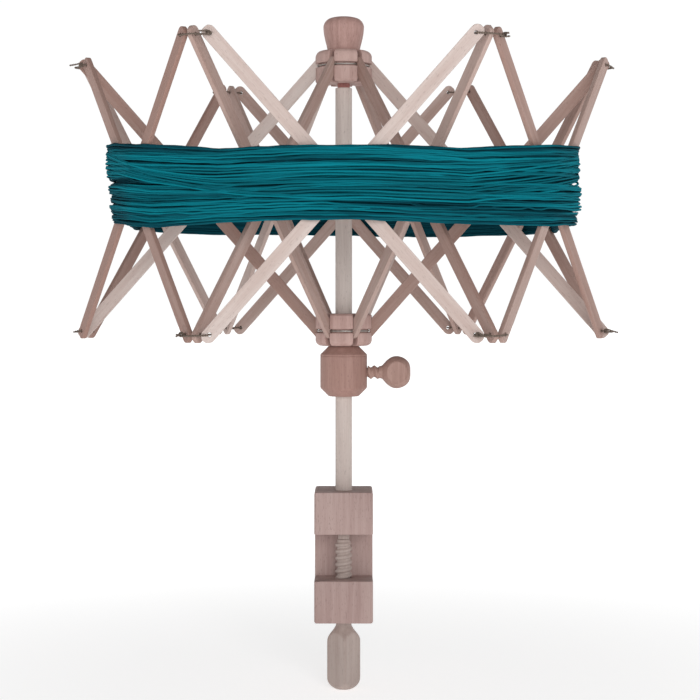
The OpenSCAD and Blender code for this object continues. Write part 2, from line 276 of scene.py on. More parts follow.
def eased(outline, steps=4):
    """The corners of an outline rounded: each point is (radius from the axis, height, rounding)."""
    line = []
    for k, (r, z, ease) in enumerate(outline):
        here = Vector((r, z))
        if not ease or k in (0, len(outline) - 1):
            line.append(here)
            continue
        before = (Vector(outline[k - 1][:2]) - here)
        after = (Vector(outline[k + 1][:2]) - here)
        start = here + before.normalized() * min(ease, before.length / 2)
        end = here + after.normalized() * min(ease, after.length / 2)
        for j in range(steps + 1):
            t = j / steps
            line.append(start.lerp(here, t).lerp(here.lerp(end, t), t))
    return line


print("plain makers ready")


# %% Lathe and bevel
def turned(name, outline, place=Matrix(), steps=96, reach=None):
    """Spins an outline of (radius, height) round Z. reach may change the radius by angle and height."""
    points, faces = [], []
    for r, z in outline:
        for k in range(steps):
            angle = TAU * k / steps
            out = reach(r, z, angle) if reach else r
            points.append((out * math.cos(angle), out * math.sin(angle), z))
    for row in range(len(outline) - 1):
        for k in range(steps):
            a, b = row * steps + k, row * steps + (k + 1) % steps
            faces.append((a, b, b + steps, a + steps))
    faces.append(list(range(steps))[::-1])
    faces.append([(len(outline) - 1) * steps + k for k in range(steps)])
    return new_piece(name, points, faces, place)


def softened(node, name, edge):
    """A copy of a solid of the frame with its sharp edges rounded by edge."""
    piece = bpy.data.objects.new(name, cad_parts[node].data.copy())
    bpy.context.collection.objects.link(piece)
    mesh = bmesh.new()
    mesh.from_mesh(piece.data)
    bmesh.ops.remove_doubles(mesh, verts=mesh.verts, dist=1e-6)
    bmesh.ops.dissolve_limit(mesh, angle_limit=math.radians(1), verts=mesh.verts, edges=mesh.edges)
    mesh.to_mesh(piece.data)
    mesh.free()
    bevel = piece.modifiers.new("edges", "BEVEL")
    bevel.width = edge
    bevel.segments = 3
    bevel.limit_method = "ANGLE"
    bevel.angle_limit = math.radians(32)
    bevel.use_clamp_overlap = True
    shape = bpy.data.meshes.new_from_object(piece.evaluated_get(bpy.context.evaluated_depsgraph_get()))
    piece.modifiers.clear()
    piece.data = shape
    return piece


print("a test outline:", len(eased([(0, 0, 0), (1, 0, 0.2), (1, 1, 0)])), "points")

# %% [markdown]
# ## The laths
#
# A lath is a strip with round ends, a cord hole at its outer end, a wire hole at the hub and a rivet hole
# where it crosses its partner. A flat curve with holes, a thickness and a small bevel is all of that in one
# object, and the bevel gives the worn edge that catches the light. The tone of each lath is read off the
# picture, and holds both the wood's own tone and painted light and shade.

# %% Lattice sizes
STATIONS = 6
SPAN = 0.352
OPEN_HEIGHT = 0.264
UPPER = 0.4646
LOWER = UPPER - OPEN_HEIGHT
MIDDLE = UPPER - OPEN_HEIGHT / 2
LEAN = math.asin(OPEN_HEIGHT / SPAN)
WIRE_RADIUS = 0.025
POINT_RADIUS = WIRE_RADIUS + SPAN * math.cos(LEAN)
LATH_WIDTH, LATH_THICK, LATH_END = 0.0126, 0.0045, 0.008
LATH_GAP = 0.0003
BESIDE = (LATH_THICK + LATH_GAP) / 2
CORD_HOLE, HUB_HOLE, RIVET_HOLE = 0.0018, 0.0012, 0.00124
HALF_STEP = math.pi / STATIONS
TIE_OFF = WIRE_RADIUS / 2
SIDE_DISTANCE = POINT_RADIUS * math.cos(HALF_STEP)
SIDE_OUT = 0.004959
print("outer points at", round(POINT_RADIUS, 4), "m, lean", round(math.degrees(LEAN), 2))


# %% Lath shape
EDGE = 0.00045


def lath_mesh(name, first_hole, last_hole, rng):
    curve = bpy.data.curves.new(name, "CURVE")
    curve.dimensions = "2D"
    curve.fill_mode = "BOTH"
    curve.extrude = LATH_THICK / 2 - EDGE
    curve.bevel_depth = EDGE
    curve.bevel_resolution = 1
    curve.offset = -EDGE

    def loop(points):
        spline = curve.splines.new("POLY")
        spline.points.add(len(points) - 1)
        for point, (x, y) in zip(spline.points, points):
            point.co = (x, y, 0, 1)
        spline.use_cyclic_u = True

    half = LATH_WIDTH / 2
    reach = LATH_END - half
    outline = []
    for middle, start in ((SPAN + reach, -90), (-reach, 90)):
        blunt = rng.uniform(0.86, 1.0)
        for k in range(13):
            a = math.radians(start + 15 * k)
            flat = half * blunt
            x = max(-flat, min(flat, half * math.cos(a)))
            outline.append((middle + x, half * math.sin(a)))
    loop(outline)
    for x, radius in ((0, first_hole), (SPAN / 2, RIVET_HOLE), (SPAN, last_hole)):
        loop([(x + radius * math.cos(-TAU * k / 20), radius * math.sin(-TAU * k / 20)) for k in range(20)])
    holder = bpy.data.objects.new(name, curve)
    bpy.context.collection.objects.link(holder)
    mesh = bpy.data.meshes.new_from_object(holder.evaluated_get(bpy.context.evaluated_depsgraph_get()))
    mesh.transform(Matrix.Rotation(math.pi / 2, 4, "X"))
    mesh.name = name
    bpy.data.objects.remove(holder)
    return mesh


def turn_of(station, extra=0.0):
    return Matrix.Rotation(2 * HALF_STEP * (station - 1) + extra, 4, "Z")


def lath_place(kind, station):
    """Where a lath's first hole stands and how the lath leans from there."""
    if kind.startswith("radial"):
        side = 1 if kind == "radial_upper" else -1
        height = UPPER if side == 1 else LOWER
        return (turn_of(station) @ Matrix.Translation((WIRE_RADIUS, side * BESIDE, height))
                @ Matrix.Rotation(side * LEAN, 4, "Y"))
    out = -1 if kind == "side_inner" else 1
    return (turn_of(station, HALF_STEP)
            @ Matrix.Translation((SIDE_DISTANCE + SIDE_OUT + out * BESIDE, 0, MIDDLE))
            @ Matrix.Rotation(math.pi / 2, 4, "Z") @ Matrix.Rotation(-out * LEAN, 4, "Y")
            @ Matrix.Translation((-SPAN / 2, 0, 0)))


# %% Twenty-four laths
# Share of the deep tone in each lath, station 1 to 6: the wood's own tone with painted light and shade, from
# the way each lath faces the light
LATH_TONE_AND_SHADE = {
    "radial_upper": (0.35, 0.70, 0.30, 0.15, 0.62, 0.75),
    "radial_lower": (0.80, 0.35, 0.55, 0.85, 0.60, 0.55),
    "side_inner": (0.75, 0.50, 0.85, 0.85, 0.25, 0.80),
    "side_outer": (0.80, 0.65, 0.40, 1.00, 0.15, 0.60),
}
PALE_LATH = (207, 194, 188)
DEEP_LATH = (146, 112, 101)


def lath_tone_and_shade(share, shift):
    return colour(*(p + (d - p) * min(1.0, max(0.0, share + shift)) for p, d in zip(PALE_LATH, DEEP_LATH)))


rng = random.Random(7)
for kind, tones in LATH_TONE_AND_SHADE.items():
    for station in range(1, STATIONS + 1):
        node = f"{kind}_{station}"
        first = HUB_HOLE if kind.startswith("radial") else CORD_HOLE
        lath = bpy.data.objects.new(node + "_lath", lath_mesh(node + "_lath", first, CORD_HOLE, rng))
        bpy.context.collection.objects.link(lath)
        lath.matrix_world = lath_place(kind, station)
        share = tones[station - 1]
        pale, deep = lath_tone_and_shade(share, -0.12), lath_tone_and_shade(share, 0.22)
        finish = wood(node + "_wood", pale, deep, "x", rng.uniform(0, 90))
        settle(lath, node, finish, [node])
print("laths:", len(LATH_TONE_AND_SHADE) * STATIONS, "faces on one:", len(lath.data.polygons))

# %% [markdown]
# ## Rivets
#
# Each crossing turns on a small brass rivet with a domed head on both sides.

# %% Brass
brass = Finish("brass", Metallic=1.0, Roughness=0.42, Base_Color=colour(160, 135, 92))
dull = brass.cloud((900, 900, 900), 3.0)
brass.drive("Base Color", brass.mix(dull, colour(186, 160, 110), colour(128, 104, 70)))
brass.drive("Roughness", dull * 0.4 + 0.2)
BRASS = brass.material

# %% Twelve rivets
RIVET_RADIUS, HEAD_RADIUS, HEAD_THICK = 0.0012, 0.0026, 0.0008
HEAD_AT = LATH_THICK + LATH_GAP / 2 + 0.00006


def rivet_outline():
    dome = [(HEAD_RADIUS * math.cos(math.radians(a)), HEAD_AT + HEAD_THICK * math.sin(math.radians(a)))
            for a in range(0, 90, 15)]
    upper = [(RIVET_RADIUS, HEAD_AT)] + dome + [(0.0001, HEAD_AT + HEAD_THICK)]
    return [(r, -z) for r, z in reversed(upper)] + upper


for station in range(1, STATIONS + 1):
    upright = Matrix.Rotation(math.pi / 2, 4, "X")
    radial = turn_of(station) @ Matrix.Translation(((WIRE_RADIUS + POINT_RADIUS) / 2, 0, MIDDLE)) @ upright
    side = (turn_of(station, HALF_STEP) @ Matrix.Translation((SIDE_DISTANCE + SIDE_OUT, 0, MIDDLE))
            @ Matrix.Rotation(math.pi / 2, 4, "Z") @ upright)
    for kind, place, body in (("radial_rivet", radial, f"radial_upper_{station}"),
                              ("side_rivet", side, f"side_inner_{station}")):
        node = f"{kind}_{station}"
        settle(turned(node + "_brass", rivet_outline(), place, 24), body, BRASS, [node])
print("rivets:", 2 * STATIONS)

# %% [markdown]
# ## Hubs, block and post
#
# The hubs and the clamp block have the right shape in the frame already, so they are copied and their
# edges eased. The post is a plain turned rod, with a reddish tenon under the upper hub.

# %% Hubs and clamp block
HUB_EDGE, BLOCK_EDGE = 0.0006, 0.0012
upper_hub = softened("upper_hub", "upper_hub_wood", HUB_EDGE)
settle(upper_hub, "rotor", HUB_WOOD, ["upper_hub"])
lower_hub = softened("lower_hub", "lower_hub_wood", HUB_EDGE)
settle(lower_hub, "lower_hub", HUB_WOOD, ["lower_hub"])
block = softened("clamp_block", "clamp_block_wood", BLOCK_EDGE)
settle(block, "stand", BLOCK_WOOD, ["clamp_block"])
print("eased edges, faces on the clamp block:", len(block.data.polygons))

# %% Post
POST_RADIUS, POST_TOP, TENON_RADIUS = 0.0083, 0.443, 0.00615
low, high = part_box("post")
post_outline = eased([(0.0001, low.z, 0), (POST_RADIUS, low.z, 0), (POST_RADIUS, POST_TOP, 0.0006),
                      (TENON_RADIUS, POST_TOP, 0)])
settle(turned("post_rod", post_outline), "stand", POST_WOOD, ["post"])
tenon_outline = [(0.0001, POST_TOP - 0.002), (TENON_RADIUS, POST_TOP - 0.002), (TENON_RADIUS, high.z),
                 (0.0001, high.z)]
settle(turned("post_tenon", tenon_outline), "stand", TENON_WOOD)
print("post from", round(low.z, 4), "to", round(high.z, 4))

# %% [markdown]
# ## Knob and collar
#
# Both are turned on a lathe. The knob widens upwards and has a soft crown; the collar has a chamfer at
# each end and a fine scribed line under the upper one.

# %% Knob
KNOB_Z = 0.47975
knob_line = [(0.0157, 0), (0.0166, 0.0036), (0.0171, 0.0057), (0.0180, 0.0091), (0.0188, 0.0126),
             (0.0195, 0.0160), (0.0200, 0.0195), (0.0203, 0.0243), (0.0197, 0.0270), (0.0181, 0.0298),
             (0.0152, 0.0322), (0.0108, 0.0336), (0.0055, 0.0343), (0.0001, 0.0345)]
knob_outline = [(0.0065, 0.0)] + [tuple(p) for p in curved(knob_line)]
settle(turned("knob_turned", knob_outline, Matrix.Translation((0, 0, KNOB_Z))), "stand",
       KNOB_WOOD, ["knob"])
print("knob top at", round(KNOB_Z + knob_line[-1][1], 4), "m")

# %% Collar
COLLAR_LOW, COLLAR_HIGH, COLLAR_RADIUS, CHAMFER = 0.13515, 0.18545, 0.0234, 0.0085
BORE = POST_RADIUS + 0.00008
collar_outline = eased([
    (BORE, COLLAR_LOW, 0), (COLLAR_RADIUS - CHAMFER, COLLAR_LOW, 0.001),
    (COLLAR_RADIUS, COLLAR_LOW + CHAMFER, 0.0012), (COLLAR_RADIUS, COLLAR_HIGH - CHAMFER - 0.0021, 0),
    (COLLAR_RADIUS - 0.0004, COLLAR_HIGH - CHAMFER - 0.0018, 0),
    (COLLAR_RADIUS, COLLAR_HIGH - CHAMFER - 0.0015, 0), (COLLAR_RADIUS, COLLAR_HIGH - CHAMFER, 0.0008),
    (COLLAR_RADIUS - CHAMFER, COLLAR_HIGH, 0.001), (BORE, COLLAR_HIGH, 0)])
settle(turned("collar_turned", collar_outline), "collar", COLLAR_WOOD, ["collar"], 24)
print("collar height:", round(COLLAR_HIGH - COLLAR_LOW, 4))

# %% [markdown]
# ## Wooden screws
#
# Both screws have a coarse cut thread. A thread is a turned surface whose radius also depends on the
# angle: the ridge climbs by one pitch in each turn. The same trick cuts the flats of the handle, where
# the radius is held back to the sides of a square.

# %% Thread and clamp screw
PITCH, THREAD_RADIUS, THREAD_DEPTH = 0.0065, 0.0083, 0.0019
SCREW_TOP, BLOCK_BOTTOM, HANDLE_LOW = -0.00735, -0.0875, -0.157
NECK, GRIP, FLAT = 0.00735, 0.0172, 0.0122
HANDLE_TURN = math.radians(49)
THREAD_END, ROW_STEP = 0.003, 0.0004
SQUARENESS = 24


def ridge(phase):
    """Height of a rounded ridge, 0 to 1, over one pitch."""
    return 0.5 - 0.5 * math.cos(TAU * phase) if phase < 1 else 0.0


def screw_reach(r, z, angle):
    if BLOCK_BOTTOM + THREAD_END < z < SCREW_TOP - 0.002:
        phase = ((z - SCREW_TOP) / PITCH - angle / TAU) % 1
        height = min(1.0, 1.25 * ridge(phase))
        fade = min(1.0, (SCREW_TOP - 0.002 - z) / THREAD_END, (z - BLOCK_BOTTOM - THREAD_END) / THREAD_END)
        return THREAD_RADIUS - THREAD_DEPTH * (1 - height * fade)
    if z < BLOCK_BOTTOM:
        turn = angle - HANDLE_TURN
        side = FLAT / max(abs(math.cos(turn)), abs(math.sin(turn)))
        return (r ** -SQUARENESS + side ** -SQUARENESS) ** (-1 / SQUARENESS)
    return r


handle_line = [(NECK, BLOCK_BOTTOM - 0.001), (NECK, BLOCK_BOTTOM - 0.003), (0.0082, -0.0945),
               (0.0107, -0.0985), (0.0139, -0.1025), (0.0162, -0.1062), (GRIP, -0.1100),
               (GRIP, -0.1200), (GRIP, -0.1320), (GRIP, -0.1450), (0.0163, -0.1492),
               (0.0140, -0.1528), (0.0105, -0.1556), (0.0070, HANDLE_LOW), (0.0001, HANDLE_LOW)]
rows = [(0.0001, SCREW_TOP), (0.0055, SCREW_TOP), (0.0059, SCREW_TOP - 0.0004)]
thread_rows = int((SCREW_TOP - 0.001 - BLOCK_BOTTOM) / ROW_STEP)
rows += [(THREAD_RADIUS - THREAD_DEPTH, SCREW_TOP - 0.001 - ROW_STEP * k) for k in range(thread_rows)]
rows += [tuple(p) for p in curved(handle_line, 6)]
screw = turned("clamp_screw_turned", [tuple(p) for p in reversed(rows)], steps=144, reach=screw_reach)
settle(screw, "clamp_screw", SCREW_WOOD, ["clamp_screw"], 50)
button_outline = eased([(0.003, -0.0152, 0), (0.003, -0.0072, 0), (0.006, -0.0072, 0.0004),
                        (0.0055, -0.0026, 0.0008), (0.0001, -0.0026, 0)])
settle(turned("screw_button_turned", button_outline, steps=48), "screw_button", SCREW_WOOD,
       ["screw_button"])
print("screw faces:", len(screw.data.polygons))

# %% Thumbscrew
THUMB_Z = 0.15915
THUMB_PITCH, THUMB_ROOT, THUMB_RISE = 0.0068, 0.0048, 0.0020
BALL_HALF = 0.012
thumb_line = [(0.0060, 0.0345), (0.0066, 0.0380), (0.0092, 0.0405), (0.0122, 0.0434), (0.0150, 0.0475),
              (0.01615, 0.0520), (0.0155, 0.0572), (0.0132, 0.0618), (0.0098, 0.0650), (0.0055, 0.0665),
              (0.0001, 0.0667)]
SHANK_START, SHANK_OUT = 0.0085, 0.0238


def thumb_reach(r, x, angle):
    if SHANK_OUT < x < thumb_line[0][1]:
        return THUMB_ROOT + THUMB_RISE * ridge(((x - SHANK_OUT) / THUMB_PITCH - angle / TAU) % 1)
    return r


thumb_rows = [(0.0001, SHANK_START), (0.0045, SHANK_START), (0.0045, SHANK_OUT)]
thumb_rows += [(THUMB_ROOT, SHANK_OUT + ROW_STEP * k) for k in range(1, 27)]
thumb_rows += [tuple(p) for p in curved(thumb_line, 4)]
lie = Matrix.Translation((0, 0, THUMB_Z)) @ Matrix.Rotation(math.pi / 2, 4, "Y")
thumb = turned("thumbscrew_turned", thumb_rows, lie, 96, thumb_reach)
flats = bmesh.new()
flats.from_mesh(thumb.data)
for side in (1, -1):
    cut = bmesh.ops.bisect_plane(flats, geom=flats.verts[:] + flats.edges[:] + flats.faces[:],
                                 plane_co=(0, side * BALL_HALF, 0), plane_no=(0, side, 0), clear_outer=True)
    rim = [e for e in cut["geom_cut"] if isinstance(e, bmesh.types.BMEdge)]
    bmesh.ops.holes_fill(flats, edges=rim)
flats.to_mesh(thumb.data)
flats.free()
settle(thumb, "thumbscrew", THUMB_WOOD, ["thumbscrew"])
print("thumbscrew faces:", len(thumb.data.polygons))

# %% [markdown]
# ## Steel wire
#
# A drawn wire ring lies in the groove of each hub, and the laths turn on it. The rings of the frame have
# the right shape, so they only get a finish: fine scratches and a soft shine.

# %% Wire finish
wire = Finish("wire", Metallic=1.0, Base_Color=colour(180, 176, 170))
scratches = wire.cloud((900, 900, 6000), 3.0)
wire.drive("Base Color", wire.mix(scratches, colour(206, 203, 198), colour(150, 146, 140)))
wire.drive("Roughness", scratches * 0.3 + 0.22)
for node in ("upper_hub_wire", "lower_hub_wire"):
    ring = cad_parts[node]
    ring.data.materials.clear()
    ring.data.materials.append(wire.material)
    ring.data.shade_smooth()
print("wire rings:", 2)

# %% [markdown]
# ## Tied cord
#
# At each outer point a thin brown cord runs through three laths and is knotted. Two plies that wind round
# each other along one smooth route make a real twisted cord, and the knot is the same route wound twice
# round itself.

# %% Twisted cord
CORD_RADIUS = 0.0009
PLY_PITCH = 0.0032


def framed(line):
    """Points of a line with two directions across it that turn as little as possible."""
    across = None
    for k, here in enumerate(line):
        ahead = (line[min(k + 1, len(line) - 1)] - line[max(k - 1, 0)]).normalized()
        if across is None:
            across = ahead.cross(Vector((0.3, 0.5, 0.8))).normalized()
        across = (across - ahead * across.dot(ahead)).normalized()
        yield here, across, ahead.cross(across)


def twisted(name, route, radius, place, step=0.0005, sides=6):
    rough = curved(route, 24)
    line, travelled = [rough[0]], 0.0
    for a, b in zip(rough, rough[1:]):
        travelled += (b - a).length
        if travelled >= step:
            line.append(b)
            travelled = 0.0
    points, faces = [], []
    for ply in (0, 1):
        first = len(points)
        for k, (here, across, up) in enumerate(framed(line)):
            turn = TAU * k * step / PLY_PITCH + math.pi * ply
            middle = here + (across * math.cos(turn) + up * math.sin(turn)) * radius * 0.48
            for j in range(sides):
                a = TAU * j / sides
                points.append(middle + (across * math.cos(a) + up * math.sin(a)) * radius * 0.6)
        rings = (len(points) - first) // sides
        for k in range(rings - 1):
            for j in range(sides):
                a, b = first + k * sides + j, first + k * sides + (j + 1) % sides
                faces.append((a, b, b + sides, a + sides))
        faces.append([first + j for j in range(sides)][::-1])
        faces.append([first + (rings - 1) * sides + j for j in range(sides)])
    return new_piece(name, points, faces, place)


# %% Cord route
TAIL = 0.013
END_REACH = LATH_WIDTH / 2 + (LATH_END - LATH_WIDTH / 2) * math.cos(LEAN)


def by_side(turn, along, out, up):
    """A place beside an outer point, in metres: along the side, outwards from it, and up."""
    s, c = math.sin(HALF_STEP), math.cos(HALF_STEP)
    return Vector((-s * along + c * out, turn * (c * along + s * out), up))


def tie_route(turn, droop, rng):
    hug = CORD_RADIUS * 1.3
    inner_in = SIDE_OUT - LATH_GAP / 2 - LATH_THICK - hug
    inner_out = SIDE_OUT - LATH_GAP / 2 + hug
    outer_in = SIDE_OUT + LATH_GAP / 2 - CORD_RADIUS * 1.6
    outer_out = SIDE_OUT + LATH_GAP / 2 + LATH_THICK + hug
    far = -turn * (LATH_THICK + LATH_GAP / 2 + hug)
    knot = by_side(turn, TIE_OFF - 0.001, inner_out + 0.0024, 0)
    end_x = END_REACH + CORD_RADIUS * 1.5
    over = Vector((0, 0, CORD_RADIUS * 1.5))
    swing = rng.uniform(-0.003, 0.003)
    wraps = [knot + Vector((0.0002 * k, 0.0017 * math.cos(k * 1.2), 0.0017 * math.sin(k * 1.2)))
             for k in range(11)]
    return ([knot + over + Vector((TAIL, swing - turn * 0.0015, -droop)),
             knot + over + Vector((TAIL * 0.5, swing * 0.4 - turn * 0.001, -droop * 0.4)),
             knot + over + Vector((0.0026, 0, 0))]
            + wraps
            + [by_side(turn, TIE_OFF, inner_out + 0.0004, 0.0003),
               by_side(turn, TIE_OFF, inner_out, 0), by_side(turn, TIE_OFF, inner_in, 0),
               by_side(turn, TIE_OFF - END_REACH - 0.001, inner_in, 0),
               Vector((0, turn * hug, 0)), Vector((0, far, 0)),
               by_side(-turn, TIE_OFF, outer_in - 0.0003, 0), by_side(-turn, TIE_OFF, outer_out, 0),
               by_side(-turn, TIE_OFF - 0.003, outer_out + 0.0005, -0.0005),
               Vector((end_x + 0.001, -turn * 0.004, -0.001)), Vector((end_x + 0.001, turn * 0.003, -0.0012)),
               knot - over + Vector((0.0004, -turn * 0.0015, 0)),
               knot - over + Vector((0.0003, turn * 0.0016, 0)),
               knot - over + Vector((0.0025, turn * 0.005, 0.001 + swing * 0.3))])


# %% Twelve ties
cord = Finish("cord", Roughness=0.9, Base_Color=colour(104, 90, 80))
strands = cord.cloud((2600, 2600, 2600), 2.0)
cord.drive("Base Color", cord.mix(strands, colour(132, 116, 104), colour(72, 60, 54)))
cord.bump(strands, 0.0001)
rng = random.Random(11)
for station in range(1, STATIONS + 1):
    for node, height, turn, droop in ((f"upper_tie_{station}", UPPER, 1, 0.0015),
                                      (f"lower_tie_{station}", LOWER, -1, 0.003)):
        place = turn_of(station) @ Matrix.Translation((POINT_RADIUS, 0, height))
        tie = twisted(node + "_cord", tie_route(turn, droop, rng), CORD_RADIUS, place)
        settle(tie, node, cord.material, [node], 80)
print("ties:", 2 * STATIONS, "faces on one:", len(tie.data.polygons))

# %% [markdown]
# ## The skein of wool
#
# A skein is hundreds of turns of one yarn. It lies on the laths: at the crossings it touches one place on
# each side, and towards its edges two, so each strand is a twelve-cornered loop whose corners move apart with
# its height. The strands are swept as tubes round that loop, drift up and down in bunches, and leave grooves
# between bunches. A strand is painted darker as shade the deeper it lies and paler as a highlight where it
# swells out, and the heart of the skein under the strands is painted dark as shade. The lattice can fold
# under them; the ring is cut into narrow slices.

# %% Outline of one strand
SLICES = 72
SLICE_STEPS = 3
ROUND = SLICES * SLICE_STEPS
STRAND = 0.00095
LATH_FACE = SIDE_DISTANCE + SIDE_OUT + LATH_GAP / 2 + LATH_THICK
CLEAR = LATH_FACE + 0.00126
FILLED = 0.028

# Angle in degrees from +X, middle height and half height of the skein there, in metres
BAND = [(0, 0.3410, 0.0360), (25, 0.3380, 0.0365), (60, 0.3360, 0.0345), (90, 0.3380, 0.0335),
        (130, 0.3380, 0.0350), (160, 0.3420, 0.0365), (180, 0.3440, 0.0360), (205, 0.3415, 0.0370),
        (222, 0.3350, 0.0368), (240, 0.3330, 0.0325), (270, 0.3338, 0.0322), (300, 0.3335, 0.0335),
        (320, 0.3360, 0.0365), (340, 0.3400, 0.0370), (360, 0.3410, 0.0360)]


def band_at(angle):
    degrees = math.degrees(angle) % 360
    return [float(np.interp(degrees, [b[0] for b in BAND], [b[k] for b in BAND])) for k in (1, 2)]


def flat_half(height, normal, filled):
    """Half the stretch that lies flat over a crossing, as wide as the skein fills it or the laths hold it."""
    corner = abs(height) / math.tan(LEAN) + LATH_WIDTH / 2 / math.sin(LEAN)
    return max(filled, corner - (normal - LATH_FACE - STRAND) / math.tan(HALF_STEP))


def loop_radius(angle, normal, half):
    """Distance from the post to a twelve-cornered loop with its flat sides at the distance normal."""
    off = angle % (2 * HALF_STEP) - HALF_STEP
    if abs(math.tan(off)) * normal <= half:
        return normal / math.cos(off)
    chord = normal * math.cos(HALF_STEP) + half * math.sin(HALF_STEP)
    return chord / math.cos(HALF_STEP - abs(off))


def eased_radius(angle, height, out, filled):
    normal = CLEAR + out
    half = flat_half(height, normal, filled)
    spread = math.radians(2.2)
    return sum(loop_radius(angle + spread * k, normal, half) * w
               for k, w in ((-2, 1), (-1, 2), (0, 3), (1, 2), (2, 1))) / 9


print("strand loop about", round(TAU * eased_radius(0.2, 0, 0.005, FILLED), 2), "m round")

# %% Bunches and grooves
# Height, first and last angle in degrees, and strength of each deep groove between two bunches. The first
# three are in the picture. The two at the back are a guess, so that the back is not barer than the front.
GROOVES = ((0.3420, 292, 385, 1.0), (0.3425, 176, 250, 0.8), (0.3150, 262, 330, 0.65),
           (0.3545, 30, 140, 0.6), (0.3250, 60, 170, 0.7))
GROOVE_WIDTH, GROOVE_PUSH, GROOVE_DIP = 0.0030, 0.0014, 0.0046
SLIM_AT, SLIM_REACH, SLIM_BELOW = 182, 34, 0.3420


def wave(angle, cycles, seed):
    """Smooth noise round the swift that closes on itself, about -0.7 to 0.7, with cycles in a turn."""
    reach = cycles / TAU
    return noise.noise(Vector((math.cos(angle) * reach, math.sin(angle) * reach, seed)))


def groove(angle, height):
    """How far a strand at this height is pushed aside, and how deep it sinks."""
    push = dip = 0.0
    for middle, start, end, strength in GROOVES:
        along = (math.degrees(angle) - start) % 360 / (end - start)
        if along < 1:
            share = strength * math.sqrt(math.sin(math.pi * along))
            share *= math.exp(-((height - middle) / GROOVE_WIDTH) ** 2)
            push += math.copysign(GROOVE_PUSH, height - middle) * share
            dip += GROOVE_DIP * share
    return push, dip


def slimmer(angle, height):
    """The lower bunch lies flatter on the left."""
    off = abs((math.degrees(angle) - SLIM_AT + 180) % 360 - 180) / SLIM_REACH
    return 0.0050 * max(0.0, 1 - off * off) * min(1.0, max(0.0, (SLIM_BELOW - height) / 0.004))


print("deepest groove sinks", GROOVE_DIP * 1000, "mm")

# %% One strand
OUTER, MIDDLE_LAYER, INNER = 0.0088, 0.0070, 0.0010


def strand_line(level, out, seed, paler):
    """Points and tones of one strand: its own random tone, painted darker as shade where it lies deep and
    paler as a highlight where it swells out. level runs from -1 at the lower edge to 1 at the upper.
    """
    line, tones = [], []
    buried = out < 0.003
    for k in range(ROUND):
        angle = TAU * k / ROUND
        middle, half = band_at(angle)
        gather = wave(angle, 9, level * 7.5) * 0.0042 + wave(angle, 22, level * 9 + seed) * 0.0012
        wander = wave(angle, 80, seed) * 0.0008
        height = middle + level * half + gather * (1 - 0.6 * abs(level) ** 3) + wander
        thick = out
        if not buried:
            push, dip = groove(angle, height)
            height += push
            swell = wave(angle, 9, level * 5 + 40) * 0.0034 + wave(angle, 60, seed + 5) * 0.0010
            thick += swell - dip - slimmer(angle, height) - 0.0040 * abs(level) ** 7
        thick = max(INNER, thick)
        radius = eased_radius(angle, height - MIDDLE, thick, 0 if buried else FILLED)
        line.append((radius * math.cos(angle), radius * math.sin(angle), height))
        # Painted shade and highlight: a strand is darker the deeper it lies and paler where it swells out;
        # paler and the wave add random tone.
        tones.append(paler + (thick - OUTER) / 0.0075 + wave(angle, 14, seed + 60) * 0.35)
    return np.array(line), np.clip(tones, 0, 1)


# %% Lay of all strands
LAYERS = ((OUTER, 42), (MIDDLE_LAYER, 42), (INNER, 34))
rng = random.Random(5)
strands = []
for layer, (out, count) in enumerate(LAYERS):
    for k in range(count):
        level = -1 + 2 * (k + 0.5 * (layer % 2) + rng.uniform(-0.42, 0.42)) / (count - 0.5)
        strands.append((*strand_line(max(-1.0, min(1.0, level)), out + rng.uniform(-0.0009, 0.0009),
                                     3.0 * k + layer, rng.uniform(0.42, 0.80)),
                        STRAND * rng.uniform(0.85, 1.15)))
print("strands:", len(strands))

# %% Strands that cross
CROSSERS = 10


def crossing_line(share, out, paler):
    """A strand that leaves the upper edge on the left and slants down to the middle of the front."""
    line, tones = [], []
    top = 0.95 - 0.62 * share
    low = 0.36 - 0.80 * share
    for k in range(ROUND):
        angle = TAU * k / ROUND
        degrees = math.degrees(angle)
        middle, half = band_at(angle)
        down = min(1.0, max(0.0, (degrees - 186 - 12 * share) / (48 + 22 * share)))
        back = min(1.0, max(0.0, (degrees - 300) / 60)) + min(1.0, max(0.0, (40 - degrees) / 40))
        slope = down * down * (3 - 2 * down) * (1 - min(1.0, back))
        height = middle + (top + (low - top) * slope) * half + wave(angle, 30, share * 8 + 90) * 0.0012
        lie = out - 0.0022 * back + wave(angle, 40, share * 5) * 0.0006
        radius = eased_radius(angle, height - MIDDLE, lie, FILLED)
        line.append((radius * math.cos(angle), radius * math.sin(angle), height))
        tones.append(paler + wave(angle, 14, share * 9) * 0.3)
    return np.array(line), np.clip(tones, 0, 1)


for k in range(CROSSERS):
    lie = 0.0096 + 0.0010 * math.sin(k * 2.1)
    strands.append((*crossing_line(k / (CROSSERS - 1), lie, rng.uniform(0.45, 0.95)), STRAND))
print("with the crossing ones:", len(strands))

# %% Wool finish
wool = Finish("wool", Roughness=0.95, Specular_IOR_Level=0.12, Base_Color=colour(0, 90, 103))
# tone holds each strand's random tone together with painted shade and painted highlight from how deep it
# lies.
tone_and_painted_shade = wool.add("ShaderNodeAttribute", {"attribute_name": "tone"}, {}, "Fac")
fuzz = wool.cloud((2400, 2400, 2400), 2.0)
shade = wool.between(tone_and_painted_shade + fuzz * 0.4 - 0.2, 0.0, 1.0)
wool.drive("Base Color", wool.mix(shade, colour(0, 60, 72), colour(0, 118, 132)))
# The heart of the skein is the same wool painted much darker: painted shade between and under the strands.
shaded_core = Finish("wool_core_painted_shade", Roughness=1.0, Specular_IOR_Level=0.1, Base_Color=colour(0, 46, 58))
shaded_core.drive("Base Color", shaded_core.mix(shaded_core.cloud((300, 300, 900), 2.0), colour(0, 34, 44), colour(0, 60, 72)))
print("wool tones ready")

# %% Rings of points
SIDES = 6
CORE_ROWS = 13
CORE_INNER, CORE_OUTER, CORE_LEAST = 0.0018, 0.0048, 0.0022


